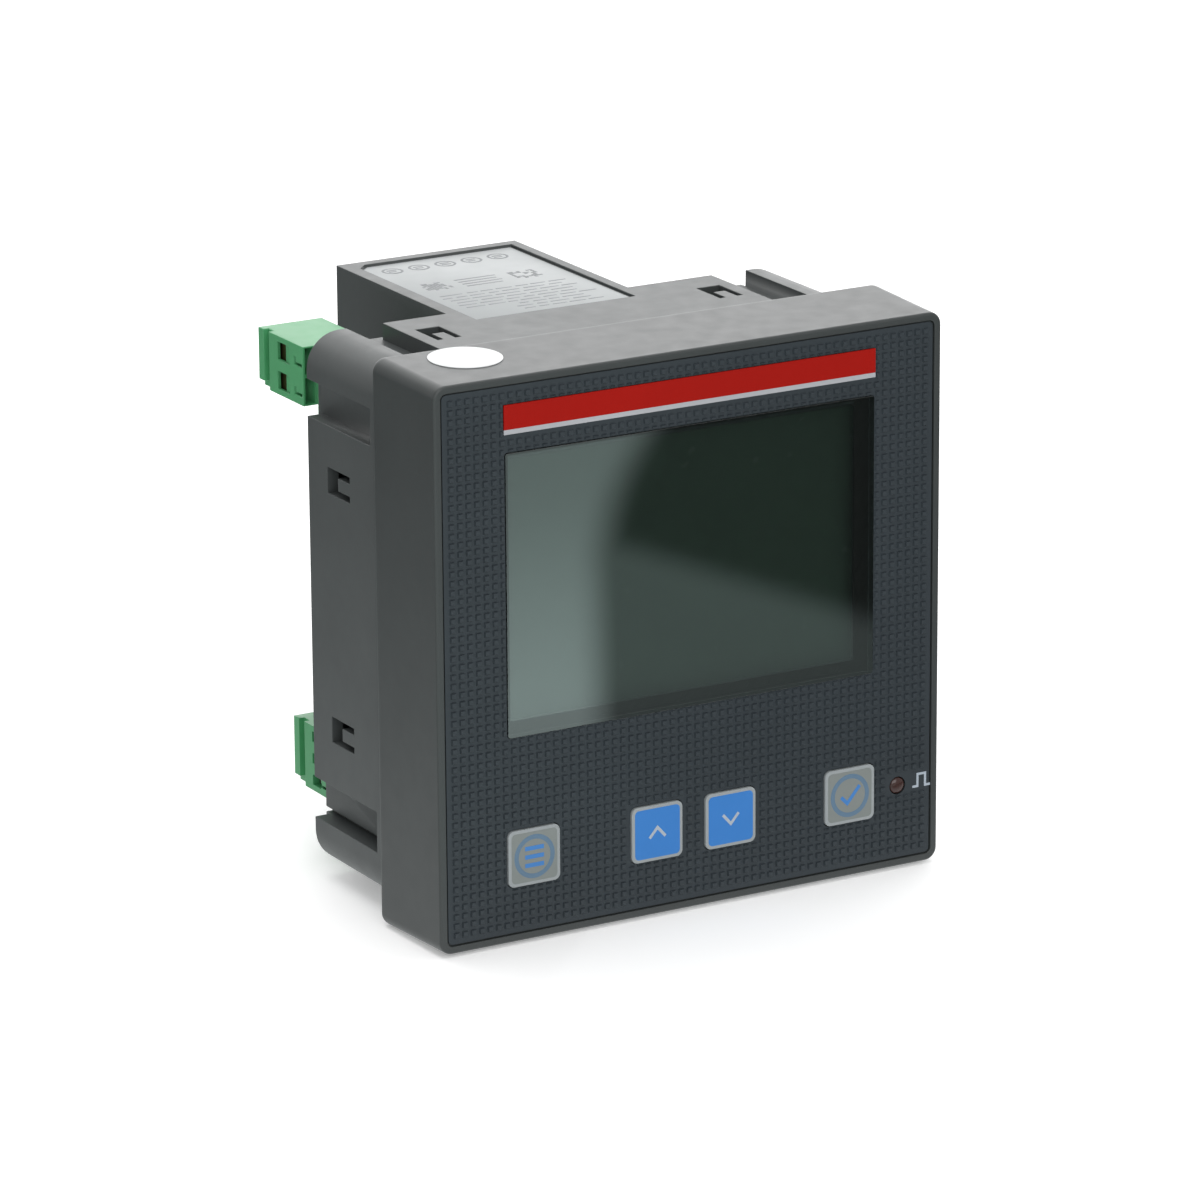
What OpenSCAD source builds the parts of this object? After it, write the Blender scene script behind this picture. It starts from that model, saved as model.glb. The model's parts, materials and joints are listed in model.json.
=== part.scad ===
// Panel-mounted smart electric meter with unpluggable terminal blocks.
// Frame: +X right seen from the front, +Y to the rear, +Z up.
// The origin is the centre of the bezel's rear face, which seats on the panel.

/* [Bezel] */
// Width and height of the bezel at its rear
bezel_size = 96; // [95:0.5:97]
// Depth of the bezel in front of the panel
bezel_depth = 20; // [19:0.5:21]
// How far each side leans in towards the front
bezel_draft = 0.5; // [0.2:0.1:0.7]
// Radius of the bezel's corners
bezel_corner_r = 2.2; // [1.6:0.1:3]

/* [Display] */
// Width of the clear window
window_w = 69.2; // [66:0.2:70]
// Height of the clear window
window_h = 47.6; // [45:0.2:48]
// Height of the window's centre above the origin
window_z = 11.1; // [10.8:0.1:11.4]
// Bottom of the coloured header strip
strip_z = 38; // [37.5:0.1:38.8]
// Height of the header strip
strip_h = 4.9; // [4:0.1:5.2]

/* [Keys] */
// Width of a key
key_w = 9.6; // [8.8:0.1:10]
// Height of a key
key_h = 9.6; // [8.8:0.1:10]
// Height of the keys' centres
key_z = -33.3; // [-34:0.1:-32.8]
// Distance of the two inner keys from the centre
key_inner_x = 7; // [6.6:0.1:8]
// Distance of the two outer keys from the centre
key_outer_x = 30.1; // [29:0.1:31]
// Place of the pulse LED along the key row
led_x = 39.7; // [39:0.1:40.4]

/* [Housing] */
// Width and height of the housing, for a 92 mm panel cut-out
body_size = 91.4; // [90.8:0.2:91.6]
// Depth of the housing behind the panel seat
body_depth = 27; // [26.5:0.1:27.3]
// Rear end of the narrow rear block
block_rear = 66; // [64:0.5:68]
// Left side of the rear block
block_left = -19.6; // [-20.4:0.2:-19]
// Right side of the rear block
block_right = 15.2; // [14.8:0.2:17]
// Wall thickness of the housing
wall = 2.1; // [1.9:0.1:2.2]

/* [Connectors] */
// Pole pitch of the supply and voltage plugs
wide_pitch = 5.08; // [5:0.08:5.08]
// Pole pitch of the communication plug
narrow_pitch = 3.81; // [3.75:0.06:3.81]
// Distance of the plugs' outer faces from the centre
plug_face_x = 42; // [41.6:0.1:42.2]
// Rear end of the supply and voltage plugs
wide_plug_rear = 51.6; // [51:0.2:53]
// Rear end of the communication plug
narrow_plug_rear = 41.4; // [41:0.2:42]
// Pole pitch of the current terminals
current_pitch = 12.5; // [12.3:0.1:12.5]

/* [Hidden] */
$fn = 48;

// Colours
dark_plastic = [0.25, 0.27, 0.27];
film_grey = [0.19, 0.22, 0.24];
key_silver = [0.55, 0.57, 0.57];
key_blue = [0.24, 0.50, 0.78];
plug_green = [0.38, 0.66, 0.47];
board_green = [0.08, 0.33, 0.20];
black_plastic = [0.08, 0.08, 0.09];
steel = [0.72, 0.73, 0.75];
brass = [0.78, 0.66, 0.38];
tin = [0.80, 0.80, 0.78];

// Cutting tools reach this far past the face that they open
past = 1;

// Bezel, counted back from its front
front_y = -bezel_depth;
bezel_half = bezel_size / 2;
front_half = bezel_half - bezel_draft;
front_wall = 2.6;
inside_y = front_y + front_wall;
lip = 1.3;
film_recess = 0.4;
film_floor = front_y + film_recess;
film_thick = 0.3;
film_gap = 0.25;
edge_round = 0.9;
slice = 0.01;
lip_half = front_half - lip;
film_half = lip_half - film_gap;
window_floor = front_y + film_recess + 1.3;
ledge = 1.3;
key_gap = 0.15;
key_corner_r = 1.1;
key_flange = 0.7;
key_travel = 0.5;
keys_x = [-key_outer_x, -key_inner_x, key_inner_x, key_outer_x];
led_r = 1.45;

// Display stack
board_thick = 1.6;
display_board_y = inside_y + 7.8;
display_board_size = 88;
switch_height = 4;
frame_w = window_w + 6;
frame_h = window_h + 5.2;
frame_wall = 1.4;
lcd_rear = inside_y + 3.4;

// Housing
body_half = body_size / 2;
body_corner_r = 6;
collar_front = -4;
recess_start = 5;
recess_depth = 2.8;
core_half = body_half - recess_depth;
core_rear = body_depth + 1.4;
cavity_half = core_half - wall;
plate_half = 31.5;
plate_top = 31.9;
plate_bottom = -30.4;
rail_inner = 38.2;
low_rail = 37.4;
slot_inner = 36.5;
slot_floor = body_half - 3.9;
thin_wall = 2.2;
thin_rear = body_depth - thin_wall;
rear_wall_y = core_rear - thin_wall;
display_post_xy = 40.5;
display_post_r = 2.2;
peg_x = 25.5;
board_post_z = 37;
board_post_r = 2.4;
side_windows_z = [-20.3, 22.6];
top_window_x = 26.8;
clip_window_h = 4.4;
clip_window_front = 12.5;
clip_window_rear = 20.3;
tongue_rear = 16.6;
tongue_half = 1.1;
board_y = body_depth - 9.1;
board_rear = board_y + board_thick;

// Rear block and current terminals
label_left = block_left + 2.7;
label_right = block_right - 2.5;
label_front = 21.3;
label_rear = block_rear - 2.8;
label_sink = 0.5;
panel_rear = block_rear - 0.3;
panel_front = panel_rear - 2.2;
screw_x = 1;
bar_x = -6;
terminal_half_w = 10.5;
terminal_half_h = 38.7;
pocket_floor = block_rear - 10.5;
pocket_half = 5.3;
bar_rear = pocket_floor + 1.2;
terminal_front = pocket_floor - 8;
terminal_screw_r = 1.7;
panel_screw_r = 1.1;
running_gap = 0.05;
transformer_front = board_rear + 4.5;
transformer_rear = transformer_front + 12;
panel_screw_spots = [for (x = [block_left + 5.1, block_right - 5.2], z = [-41.2, 41.2]) [x, z]];

// Plug families: [pitch, thickness, shoulder y, rear y, nose front y, nose margin,
//   header rear y, cage front y, cage length, wire r, screw r, head r]
wide = [wide_pitch, 12, 35.5, wide_plug_rear, 24.5, 2.6, 31.5, 41.8, 5.6, 1.9, 1.25, 1.8];
narrow = [narrow_pitch, 11, 29, narrow_plug_rear, 22.4, 2.4, 28.5, 33.2, 4.2, 1.35, 0.8, 1.35];
supply_z = 36;
comms_z = -30;
voltage_z = 22.5;
supply_poles = 2;
comms_poles = 3;
voltage_poles = 4;
header_floor = 2.6;
header_gap = 0.3;
pin_half = 0.5;
head_depth = 2.4;

// Mirrors a connector from the left side to the right side
module on_right() {
    mirror([1, 0, 0]) children();
}

// A box between two corners
module box(x0, x1, y0, y1, z0, z1) {
    translate([x0, y0, z0]) cube([x1 - x0, y1 - y0, z1 - z0]);
}

// Rectangle with round corners, centred
module rounded(w, h, r) {
    square([w - 2 * r, h], center = true);
    square([w, h - 2 * r], center = true);
    for (x = [-1, 1], z = [-1, 1]) translate([x * (w / 2 - r), z * (h / 2 - r)]) circle(r);
}

// Rounded plate that faces the front, from y0 back to y1
module plate(y0, y1, w, h, r, x = 0, z = 0) {
    translate([x, y1, z]) rotate([90, 0, 0]) linear_extrude(y1 - y0) rounded(w, h, r);
}

// Round rod along Y
module rod_y(x, z, y0, y1, r) {
    translate([x, y1, z]) rotate([90, 0, 0]) cylinder(h = y1 - y0, r = r);
}

// Round rod along X
module rod_x(x0, x1, y, z, r) {
    translate([x0, y, z]) rotate([0, 90, 0]) cylinder(h = x1 - x0, r = r);
}

// ---- Bezel and what shows in it ----

module bezel_slice(y, half, r) {
    plate(y, y + slice, 2 * half, 2 * half, r, $fn = 32);
}

module bezel() {
    color(dark_plastic) {
        difference() {
            hull() {
                bezel_slice(-slice, bezel_half - 0.7, bezel_corner_r - 0.7);
                bezel_slice(-1.2, bezel_half, bezel_corner_r);
                bezel_slice(front_y + edge_round, front_half, bezel_corner_r);
                bezel_slice(front_y + 0.25, front_half - 0.25, bezel_corner_r - 0.25);
                bezel_slice(front_y, front_half - edge_round, bezel_corner_r - edge_round);
            }
            plate(inside_y, past, body_size + 0.4, body_size + 0.4, 1);
            plate(front_y - past, front_y + film_recess, 2 * lip_half, 2 * lip_half, 1);
            window_cut(window_floor, 0.1);
            window_cut(inside_y + past, -ledge);
            for (x = keys_x) key_opening(x);
            rod_y(led_x, key_z, front_y - past, inside_y + past, led_r + 0.1);
        }
        for (x = [-display_post_xy, display_post_xy], z = [-display_post_xy, display_post_xy])
            rod_y(x, z, inside_y, display_board_y, display_post_r);
    }
}

// Cut through the front down to y1, this much larger all round than the window
module window_cut(y1, grow) {
    plate(front_y - past, y1, window_w + 2 * grow, window_h + 2 * grow, 0.6, 0, window_z);
}

module key_opening(x) {
    grow = 2 * key_gap;
    plate(front_y - past, inside_y + past, key_w + grow, key_h + grow, key_corner_r + key_gap, x, key_z);
}

module front_film() {
    color(film_grey) difference() {
        plate(film_floor - film_thick, film_floor, 2 * film_half, 2 * film_half, 0.8);
        window_cut(front_y + past, 0.1);
        strip_box(front_y - past, front_y + past, 0.1);
        for (x = keys_x) key_opening(x);
        rod_y(led_x, key_z, front_y - past, front_y + past, led_r + 0.1);
    }
}

module strip_box(y0, y1, grow) {
    half = window_w / 2 + 0.2 + grow;
    box(-half, half, y0, y1, strip_z - grow, strip_z + strip_h + grow);
}

module header_strip() {
    color("firebrick") strip_box(front_y + 0.06, film_floor, 0);
}

module display_window() {
    color([0.30, 0.36, 0.34, 0.4])
        plate(front_y + 0.08, window_floor, window_w, window_h, 0.5, 0, window_z);
}

module display_frame() {
    color(black_plastic) difference() {
        frame_plate(inside_y + 0.05, display_board_y, 0);
        frame_plate(inside_y + frame_wall, display_board_y + past, frame_wall);
        window_cut(display_board_y, -ledge - 0.5);
    }
}

// Plate as large as the display frame, less this much all round
module frame_plate(y0, y1, less) {
    plate(y0, y1, frame_w - 2 * less, frame_h - 2 * less, 0.6, 0, window_z);
}

module lcd_glass() {
    color([0.30, 0.36, 0.32])
        frame_plate(inside_y + frame_wall + 0.05, lcd_rear, frame_wall + 0.2);
}

module backlight() {
    color("white")
        frame_plate(lcd_rear + 0.1, lcd_rear + 2.8, frame_wall + 0.4);
}

module pulse_led() {
    shoulder_y = front_y + 0.6;
    color([0.32, 0.14, 0.12]) {
        rod_y(led_x, key_z, shoulder_y, display_board_y, led_r);
        translate([led_x, shoulder_y, key_z]) rotate([90, 0, 0])
            cylinder(h = 0.7, r1 = led_r, r2 = led_r * 0.6);
    }
}

module key(x, tint) {
    flange_front = inside_y + 0.1;
    grow = 2 * key_flange;
    color(tint) {
        plate(front_y - 0.12, flange_front, key_w, key_h, key_corner_r, x, key_z);
        plate(flange_front, flange_front + 1, key_w + grow, key_h + grow, key_corner_r, x, key_z);
        rod_y(x, key_z, flange_front + 1, display_board_y - switch_height - key_travel - 0.3, 1.8);
    }
}

module menu_key() { key(-key_outer_x, key_silver); }
module up_key() { key(-key_inner_x, key_blue); }
module down_key() { key(key_inner_x, key_blue); }
module enter_key() { key(key_outer_x, key_silver); }

module tact_switches() {
    color(black_plastic) for (x = keys_x) {
        plate(display_board_y - 3.2, display_board_y, 6, 6, 0.4, x, key_z);
        rod_y(x, key_z, display_board_y - switch_height, display_board_y - 3.2, 1.7);
    }
}

module display_board() {
    color(board_green) difference() {
        plate(display_board_y, display_board_y + board_thick, display_board_size, display_board_size, 1.5);
        for (x = [-peg_x, peg_x]) rod_y(x, 41.5, display_board_y - past, display_board_y + 3, 1.1);
    }
}

// ---- Housing ----

// Places a shape of the left side on the right side too
module on_both_sides() {
    children();
    on_right() children();
}

// Places a shape of the left side on the top and the bottom
module on_top_and_bottom() {
    for (turn = [90, 270]) rotate([0, turn, 0]) children();
}

// Recess in the left side between the side plate and a corner rail
module clip_recess(z0, z1) {
    box(-body_half - past, -core_half, recess_start, body_depth + past, z0, z1);
}

module clip_recesses() {
    on_both_sides() clip_recess(plate_top, rail_inner);
    on_both_sides() clip_recess(-low_rail, plate_bottom);
    on_top_and_bottom() clip_recess(plate_half, rail_inner);
    on_top_and_bottom() clip_recess(-rail_inner, -plate_half);
}

// Deeper slots beside the two lower corner rails
module rail_slots() {
    on_both_sides()
        box(-body_half - past, -slot_floor, recess_start, core_rear + past, -low_rail, -slot_inner);
    on_both_sides()
        box(-low_rail, -slot_inner, recess_start, core_rear + past, -body_half - past, -slot_floor);
}

// Window with a spring tongue, where a panel clip's hook engages
module clip_window(z) {
    deep = body_half - cavity_half;
    x0 = -body_half - past;
    x1 = x0 + past + deep;
    half = clip_window_h / 2;
    box(x0, x1, tongue_rear, clip_window_rear, z - half, z + half);
    box(x0, x1, clip_window_front, tongue_rear + 0.01, z - half, z - tongue_half);
    box(x0, x1, clip_window_front, tongue_rear + 0.01, z + tongue_half, z + half);
}

module cavity() {
    low = slot_floor - 2.2;
    side = slot_inner - 2;
    box(-cavity_half, cavity_half, collar_front - past, rear_wall_y, -side, cavity_half);
    box(-low, low, collar_front - past, rear_wall_y, -low, cavity_half);
    box(-side, side, collar_front - past, rear_wall_y, -cavity_half, cavity_half);
    thin = body_half - thin_wall;
    across = plate_half - thin_wall;
    box(-thin, thin, collar_front - past, thin_rear, plate_bottom + thin_wall, across);
    box(-across, across, collar_front - past, thin_rear, -thin, thin);
}

module main_housing() {
    color(dark_plastic) {
        difference() {
            union() {
                plate(collar_front, body_depth, body_size, body_size, body_corner_r);
                box(-core_half, core_half, body_depth - past, core_rear, -core_half, core_half);
                box(block_left, block_right, body_depth - past, block_rear, -body_half, body_half);
            }
            clip_recesses();
            corner_relief();
            rail_slots();
            cavity();
            block_inside();
            on_both_sides() for (z = side_windows_z) clip_window(z);
            on_top_and_bottom() for (x = [-top_window_x, top_window_x]) clip_window(x);
            header_pocket(wide, supply_poles, supply_z);
            header_pocket(narrow, comms_poles, comms_z);
            on_right() header_pocket(wide, voltage_poles, voltage_z);
            label_recess();
        }
        difference() {
            for (s = panel_screw_spots) panel_boss(s);
            for (s = panel_screw_spots)
                rod_y(s[0], s[1], panel_front - 8, panel_front + past, panel_screw_r + running_gap);
        }
        for (x = [-peg_x, peg_x], z = [-board_post_z, board_post_z])
            rod_y(x, z, board_rear, rear_wall_y + 0.1, board_post_r);
    }
}

// The rear block is hollow and open to the body's cavity
module block_inside() {
    half = body_half - wall;
    box(block_left + wall, block_right - wall, thin_rear - 0.1, block_rear + past, -half, half);
}

// The core's square corners stay inside the rails
module corner_relief() {
    reach = core_half + past;
    for (x = [-1, 1], z = [-1, 1]) {
        x0 = x > 0 ? rail_inner : -reach;
        z0 = z > 0 ? rail_inner : -reach;
        box(x0, x0 + reach - rail_inner, body_depth, core_rear + past, z0, z0 + reach - rail_inner);
    }
}

module panel_boss(s) {
    wall_z = sign(s[1]) * (body_half - wall + 0.1);
    rod_y(s[0], s[1], panel_front - 9, panel_front, 2.2);
    box(s[0] - 2.2, s[0] + 2.2, panel_front - 9, panel_front, min(s[1], wall_z), max(s[1], wall_z));
}

module label_outline(grow, gap_right, gap_rear) {
    chamfer = 1.8;
    polygon([
        [label_left - grow, label_front - grow],
        [label_right + grow + gap_right, label_front - grow],
        [label_right + grow + gap_right, label_rear + grow + gap_rear],
        [label_left - grow + chamfer, label_rear + grow + gap_rear],
        [label_left - grow, label_rear + grow + gap_rear - chamfer]
    ]);
}

module label_recess() {
    translate([0, 0, body_half - label_sink])
        linear_extrude(label_sink + past) label_outline(0.15, 0.45, 0.45);
}

module rating_label() {
    color([0.85, 0.86, 0.86]) translate([0, 0, body_half - label_sink])
        linear_extrude(0.15) label_outline(0, 0, 0);
}

module round_sticker() {
    lean = atan(bezel_draft / (bezel_depth - edge_round - 1.2));
    centre_y = -7.2;
    top_z = bezel_half - (-1.2 - centre_y) * tan(lean) + 0.02;
    color("white") translate([-34.7, centre_y, top_z]) rotate([lean, 0, 0]) cylinder(h = 0.12, r = 6.1);
}

module rear_panel() {
    inset = wall + 0.1;
    half = body_half - inset;
    color(dark_plastic) difference() {
        box(block_left + inset, block_right - inset, panel_front, panel_rear, -half, half);
        terminal_box(panel_front - past, panel_rear + past, 0.1);
        for (s = panel_screw_spots) {
            rod_y(s[0], s[1], panel_front - past, panel_rear + past, 1.3);
            rod_y(s[0], s[1], panel_rear - 1.2, panel_rear + past, 2.1);
        }
    }
}

module panel_screws() {
    color(steel) for (s = panel_screw_spots) difference() {
        union() {
            rod_y(s[0], s[1], panel_front - 7, panel_rear - 1.2, panel_screw_r);
            rod_y(s[0], s[1], panel_rear - 1.2, panel_rear - 0.1, 1.9);
        }
        cross_recess(s[0], s[1], panel_rear - 0.1, 1.3, 0.7);
    }
}

module cross_recess(x, z, y, reach, depth) {
    box(x - reach, x + reach, y - depth, y + past, z - 0.25, z + 0.25);
    box(x - 0.25, x + 0.25, y - depth, y + past, z - reach, z + reach);
}

// ---- Boards and parts inside ----

module main_board() {
    half = cavity_half - 0.4;
    low = slot_floor - 2.6;
    side = slot_inner - 2.4;
    color(board_green) difference() {
        union() {
            box(-half, half, board_y, board_rear, -side, half);
            box(-low, low, board_y, board_rear, -low, half);
            box(-side, side, board_y, board_rear, -half, half);
        }
        header_pins();
    }
}

module board_connector() {
    color(black_plastic) difference() {
        box(-13, 13, display_board_y + board_thick, board_y, -30, -24.5);
        box(-11.5, 11.5, display_board_y + board_thick + 3, board_y - 3, -31, -29);
        box(-11.5, 11.5, display_board_y + board_thick + 3, board_y - 3, -25.5, -23);
    }
}

module supply_transformer() {
    color("gold") {
        box(15, 35, board_y - 12, board_y - 2, -6, 12);
        box(13.5, 36.5, board_y - 2, board_y, -8, 14);
    }
    color([0.2, 0.2, 0.2]) difference() {
        box(18, 32, board_y - 14.5, board_y - 12, -9, 15);
        box(21, 29, board_y - 15.5, board_y - 13, -5, 11);
    }
}

module supply_capacitors() {
    color([0.12, 0.14, 0.25]) for (z = [24, 12]) {
        rod_y(-27, z, board_y - 16, board_y, 5);
        rod_y(-27, z, board_y - 16.2, board_y - 16, 4.2);
    }
}

function pole_z(i) = (i - 2.5) * current_pitch;

module current_transformers() {
    color([0.10, 0.12, 0.35]) for (i = [1, 3, 5]) {
        difference() {
            plate(transformer_front, transformer_rear, 19.6, 20.4, 2, bar_x, pole_z(i));
            rod_y(bar_x, pole_z(i), transformer_front - past, transformer_rear + past, 4.4);
        }
        for (x = [-8, 8], z = [-8, 8]) rod_y(bar_x + x, pole_z(i) + z, board_rear, transformer_front, 1.2);
    }
}

// Leg of a bar at one pole, reaching this much further up
module bar_leg(i, y0, y1, up) {
    box(bar_x - 1.5, bar_x + 1.5, y0, y1, pole_z(i) - 0.8, pole_z(i) + 0.8 + up);
}

// Each phase's conductor enters at one screw, passes its transformer and leaves at the next
module terminal_bars() {
    turn_y = transformer_front - 3;
    color(brass) for (i = [0, 2, 4]) {
        for (k = [i, i + 1]) {
            difference() {
                box(bar_x - 1.8, screw_x + 4, pocket_floor, bar_rear, pole_z(k) - 4, pole_z(k) + 4);
                rod_y(screw_x, pole_z(k), pocket_floor - past, bar_rear + past, terminal_screw_r + 0.2);
            }
            bar_leg(k, turn_y, pocket_floor, 0);
        }
        bar_leg(i, turn_y, turn_y + 1.6, current_pitch);
    }
}

module current_terminal() {
    flange_w = terminal_half_w + 1.5;
    flange_h = terminal_half_h + 0.2;
    color(black_plastic) difference() {
        union() {
            terminal_box(terminal_front, panel_rear, 0);
            box(-flange_w, flange_w, panel_front - 2, panel_front, -flange_h, flange_h);
        }
        for (i = [0:5]) {
            box(-8.6, 9, pocket_floor, panel_rear + past, pole_z(i) - pocket_half, pole_z(i) + pocket_half);
            rod_y(screw_x, pole_z(i), pocket_floor - 7, pocket_floor + past, terminal_screw_r + running_gap);
            bar_leg(i, terminal_front - past, pocket_floor + past, 0);
        }
    }
}

// Outline of the terminal, this much larger all round
module terminal_box(y0, y1, grow) {
    half_w = terminal_half_w + grow;
    half_h = terminal_half_h + grow;
    box(-half_w, half_w, y0, y1, -half_h, half_h);
}

module current_screw(i) {
    head_y = bar_rear + 0.3;
    z = pole_z(i);
    color(steel) difference() {
        union() {
            rod_y(screw_x, z, pocket_floor - 6.4, head_y, terminal_screw_r);
            rod_y(screw_x, z, head_y, head_y + 2.3, 3.2);
        }
        cross_recess(screw_x, z, head_y + 2.3, 2.0, 1.2);
        box(screw_x - 4, screw_x + 4, head_y + 1.3, head_y + 4, z - 0.35, z + 0.35);
    }
}

module current_screw_1() { current_screw(0); }
module current_screw_2() { current_screw(1); }
module current_screw_3() { current_screw(2); }
module current_screw_4() { current_screw(3); }
module current_screw_5() { current_screw(4); }
module current_screw_6() { current_screw(5); }

// ---- Pluggable connectors ----
// Built on the left side: u runs inward from the plug's outer face.

function u(d) = -plug_face_x + d;
function offset_of(pole, poles) = (pole - (poles - 1) / 2);
function pole_at(f, pole, poles, z) = z + offset_of(pole, poles) * f[0];
function contact_u(f) = f[1] / 2 + 0.5;
function bar_u(f) = contact_u(f) - 1.2;
function wire_u(f) = bar_u(f) - f[9] + 0.1;
function cage_bottom(f) = wire_u(f) - f[9] - 0.05;
function cage_top(f) = bar_u(f) + 1.6;
function cage_half(f) = f[0] / 2 - 0.62;
function nose_w(f) = f[1] - 2 * f[5] + 1;
function bar_half(f) = f[0] / 2 - 1.3;
function hole_half(f) = f[0] / 2 - 0.32;

module header_pocket(f, poles, z) {
    half = poles * f[0] / 2 + 1.05;
    box(u(0.45), u(f[1] + 0.55), board_rear, core_rear + past, z - half, z + half);
}

module header(f, poles, z) {
    half = poles * f[0] / 2;
    inner = u(f[5] - header_gap);
    color(plug_green) difference() {
        box(u(0.6), u(f[1] + 0.4), board_rear, f[6], z - half - 0.9, z + half + 0.9);
        box(inner, inner + nose_w(f) + 2 * header_gap, board_rear + header_floor, f[6] + past,
            z - half - header_gap, z + half + header_gap);
        header_pin_row(f, poles, z);
    }
}

module header_pin_row(f, poles, z) {
    x = u(contact_u(f));
    for (p = [0:poles - 1]) {
        pz = pole_at(f, p, poles, z);
        box(x - pin_half, x + pin_half, board_y - 1, f[6] - 0.6, pz - pin_half, pz + pin_half);
    }
}

module header_pins() {
    color(tin) {
        header_pin_row(wide, supply_poles, supply_z);
        header_pin_row(narrow, comms_poles, comms_z);
        on_right() header_pin_row(wide, voltage_poles, voltage_z);
    }
}

module supply_header() { header(wide, supply_poles, supply_z); }
module comms_header() { header(narrow, comms_poles, comms_z); }
module voltage_header() { on_right() header(wide, voltage_poles, voltage_z); }

module plug(f, poles, z) {
    half = poles * f[0] / 2;
    face_rear = f[3];
    cavity_front = f[7] - 0.3;
    cavity_rear = f[7] + f[8] + 0.3;
    middle_y = f[7] + f[8] / 2;
    head_floor = f[1] - head_depth;
    cavity_low = cage_bottom(f) - 0.8;
    cavity_high = head_floor - 0.6;
    color(plug_green) difference() {
        union() {
            box(u(0), u(f[1]), f[2], face_rear, z - half, z + half);
            box(u(f[5]), u(f[5] + nose_w(f)), f[4], f[2], z - half, z + half);
        }
        box(u(-past), u(1), face_rear - 3.8, face_rear - 1.9, z - half - past, z + half + past);
        box(u(-past), u(1), face_rear - 2, face_rear + past, z - half - past, z - half + 1.2);
        for (p = [0:poles - 1]) {
            pz = pole_at(f, p, poles, z);
            hole = hole_half(f);
            window = hole - 0.7;
            window_rear = cavity_rear - 2.9;
            notch = pz - 0.7 * window;
            box(u(contact_u(f) - 1.5), u(contact_u(f) + 1.5), f[4] - past, cavity_front + past,
                pz - 1.3, pz + 1.3);
            box(u(cavity_low), u(cavity_high), cavity_front, cavity_rear, pz - hole, pz + hole);
            rod_y(u(wire_u(f)), pz, cavity_rear - past, face_rear + past, f[9]);
            rod_x(u(head_floor - past), u(head_floor + past), middle_y, pz, f[10] + 0.15);
            rod_x(u(head_floor), u(f[1] + past), middle_y, pz, f[11] + 0.2);
            box(u(0.5), u(f[5] - 0.3), f[2] - past, f[2] + 3, pz - hole, pz + hole);
            box(u(-past), u(0.4), cavity_front - 1, window_rear, pz - window, pz + window);
            box(u(-past), u(cavity_low + 0.1), window_rear - 2.4, window_rear, pz - window, pz + window);
            box(u(-past), u(0.6), f[2] + 0.5, f[2] + 3.3, notch, notch + 0.5);
            box(u(-past), u(0.6), f[2] + 2.6, f[2] + 3.3, notch, notch + 0.9 * window);
        }
    }
}

module contacts(f, poles, z) {
    color(tin) for (p = [0:poles - 1]) {
        pz = pole_at(f, p, poles, z);
        cu = contact_u(f);
        box(u(bar_u(f)), u(bar_u(f) + 0.7), f[6], f[7] + f[8], pz - bar_half(f), pz + bar_half(f));
        difference() {
            box(u(cu - 1.4), u(cu + 1.4), f[4] + 1.5, f[6] + 1, pz - 1.2, pz + 1.2);
            box(u(cu - 0.8), u(cu + 0.8), f[4], f[6] + 0.3, pz - 0.8, pz + 0.8);
        }
    }
}

// Rising cage: the screw draws it towards the head and clamps the wire on the bar
module cage(f, pole, poles, z) {
    pz = pole_at(f, pole, poles, z);
    half = cage_half(f);
    inner = half - 0.4;
    y1 = f[7] + f[8];
    color(brass) difference() {
        box(u(cage_bottom(f) - 0.6), u(cage_top(f)), f[7], y1, pz - half, pz + half);
        box(u(cage_bottom(f)), u(cage_top(f) - 0.7), f[7] - past, y1 + past, pz - inner, pz + inner);
        rod_x(u(cage_top(f) - past), u(cage_top(f) + past), f[7] + f[8] / 2, pz, f[10] + running_gap);
    }
}

module clamp_screw(f, pole, poles, z) {
    pz = pole_at(f, pole, poles, z);
    y = f[7] + f[8] / 2;
    head = f[1] - head_depth + 0.1;
    color(steel) difference() {
        union() {
            rod_x(u(bar_u(f) + 0.8), u(head), y, pz, f[10]);
            rod_x(u(head), u(head + 1.5), y, pz, f[11]);
        }
        box(u(head + 0.8), u(head + 3), y - 3, y + 3, pz - 0.3, pz + 0.3);
    }
}

module supply_plug() { plug(wide, supply_poles, supply_z); }
module supply_contacts() { contacts(wide, supply_poles, supply_z); }
module supply_screw_1() { clamp_screw(wide, 0, supply_poles, supply_z); }
module supply_screw_2() { clamp_screw(wide, 1, supply_poles, supply_z); }
module supply_cage_1() { cage(wide, 0, supply_poles, supply_z); }
module supply_cage_2() { cage(wide, 1, supply_poles, supply_z); }

module comms_plug() { plug(narrow, comms_poles, comms_z); }
module comms_contacts() { contacts(narrow, comms_poles, comms_z); }
module comms_screw_1() { clamp_screw(narrow, 0, comms_poles, comms_z); }
module comms_screw_2() { clamp_screw(narrow, 1, comms_poles, comms_z); }
module comms_screw_3() { clamp_screw(narrow, 2, comms_poles, comms_z); }
module comms_cage_1() { cage(narrow, 0, comms_poles, comms_z); }
module comms_cage_2() { cage(narrow, 1, comms_poles, comms_z); }
module comms_cage_3() { cage(narrow, 2, comms_poles, comms_z); }

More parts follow.
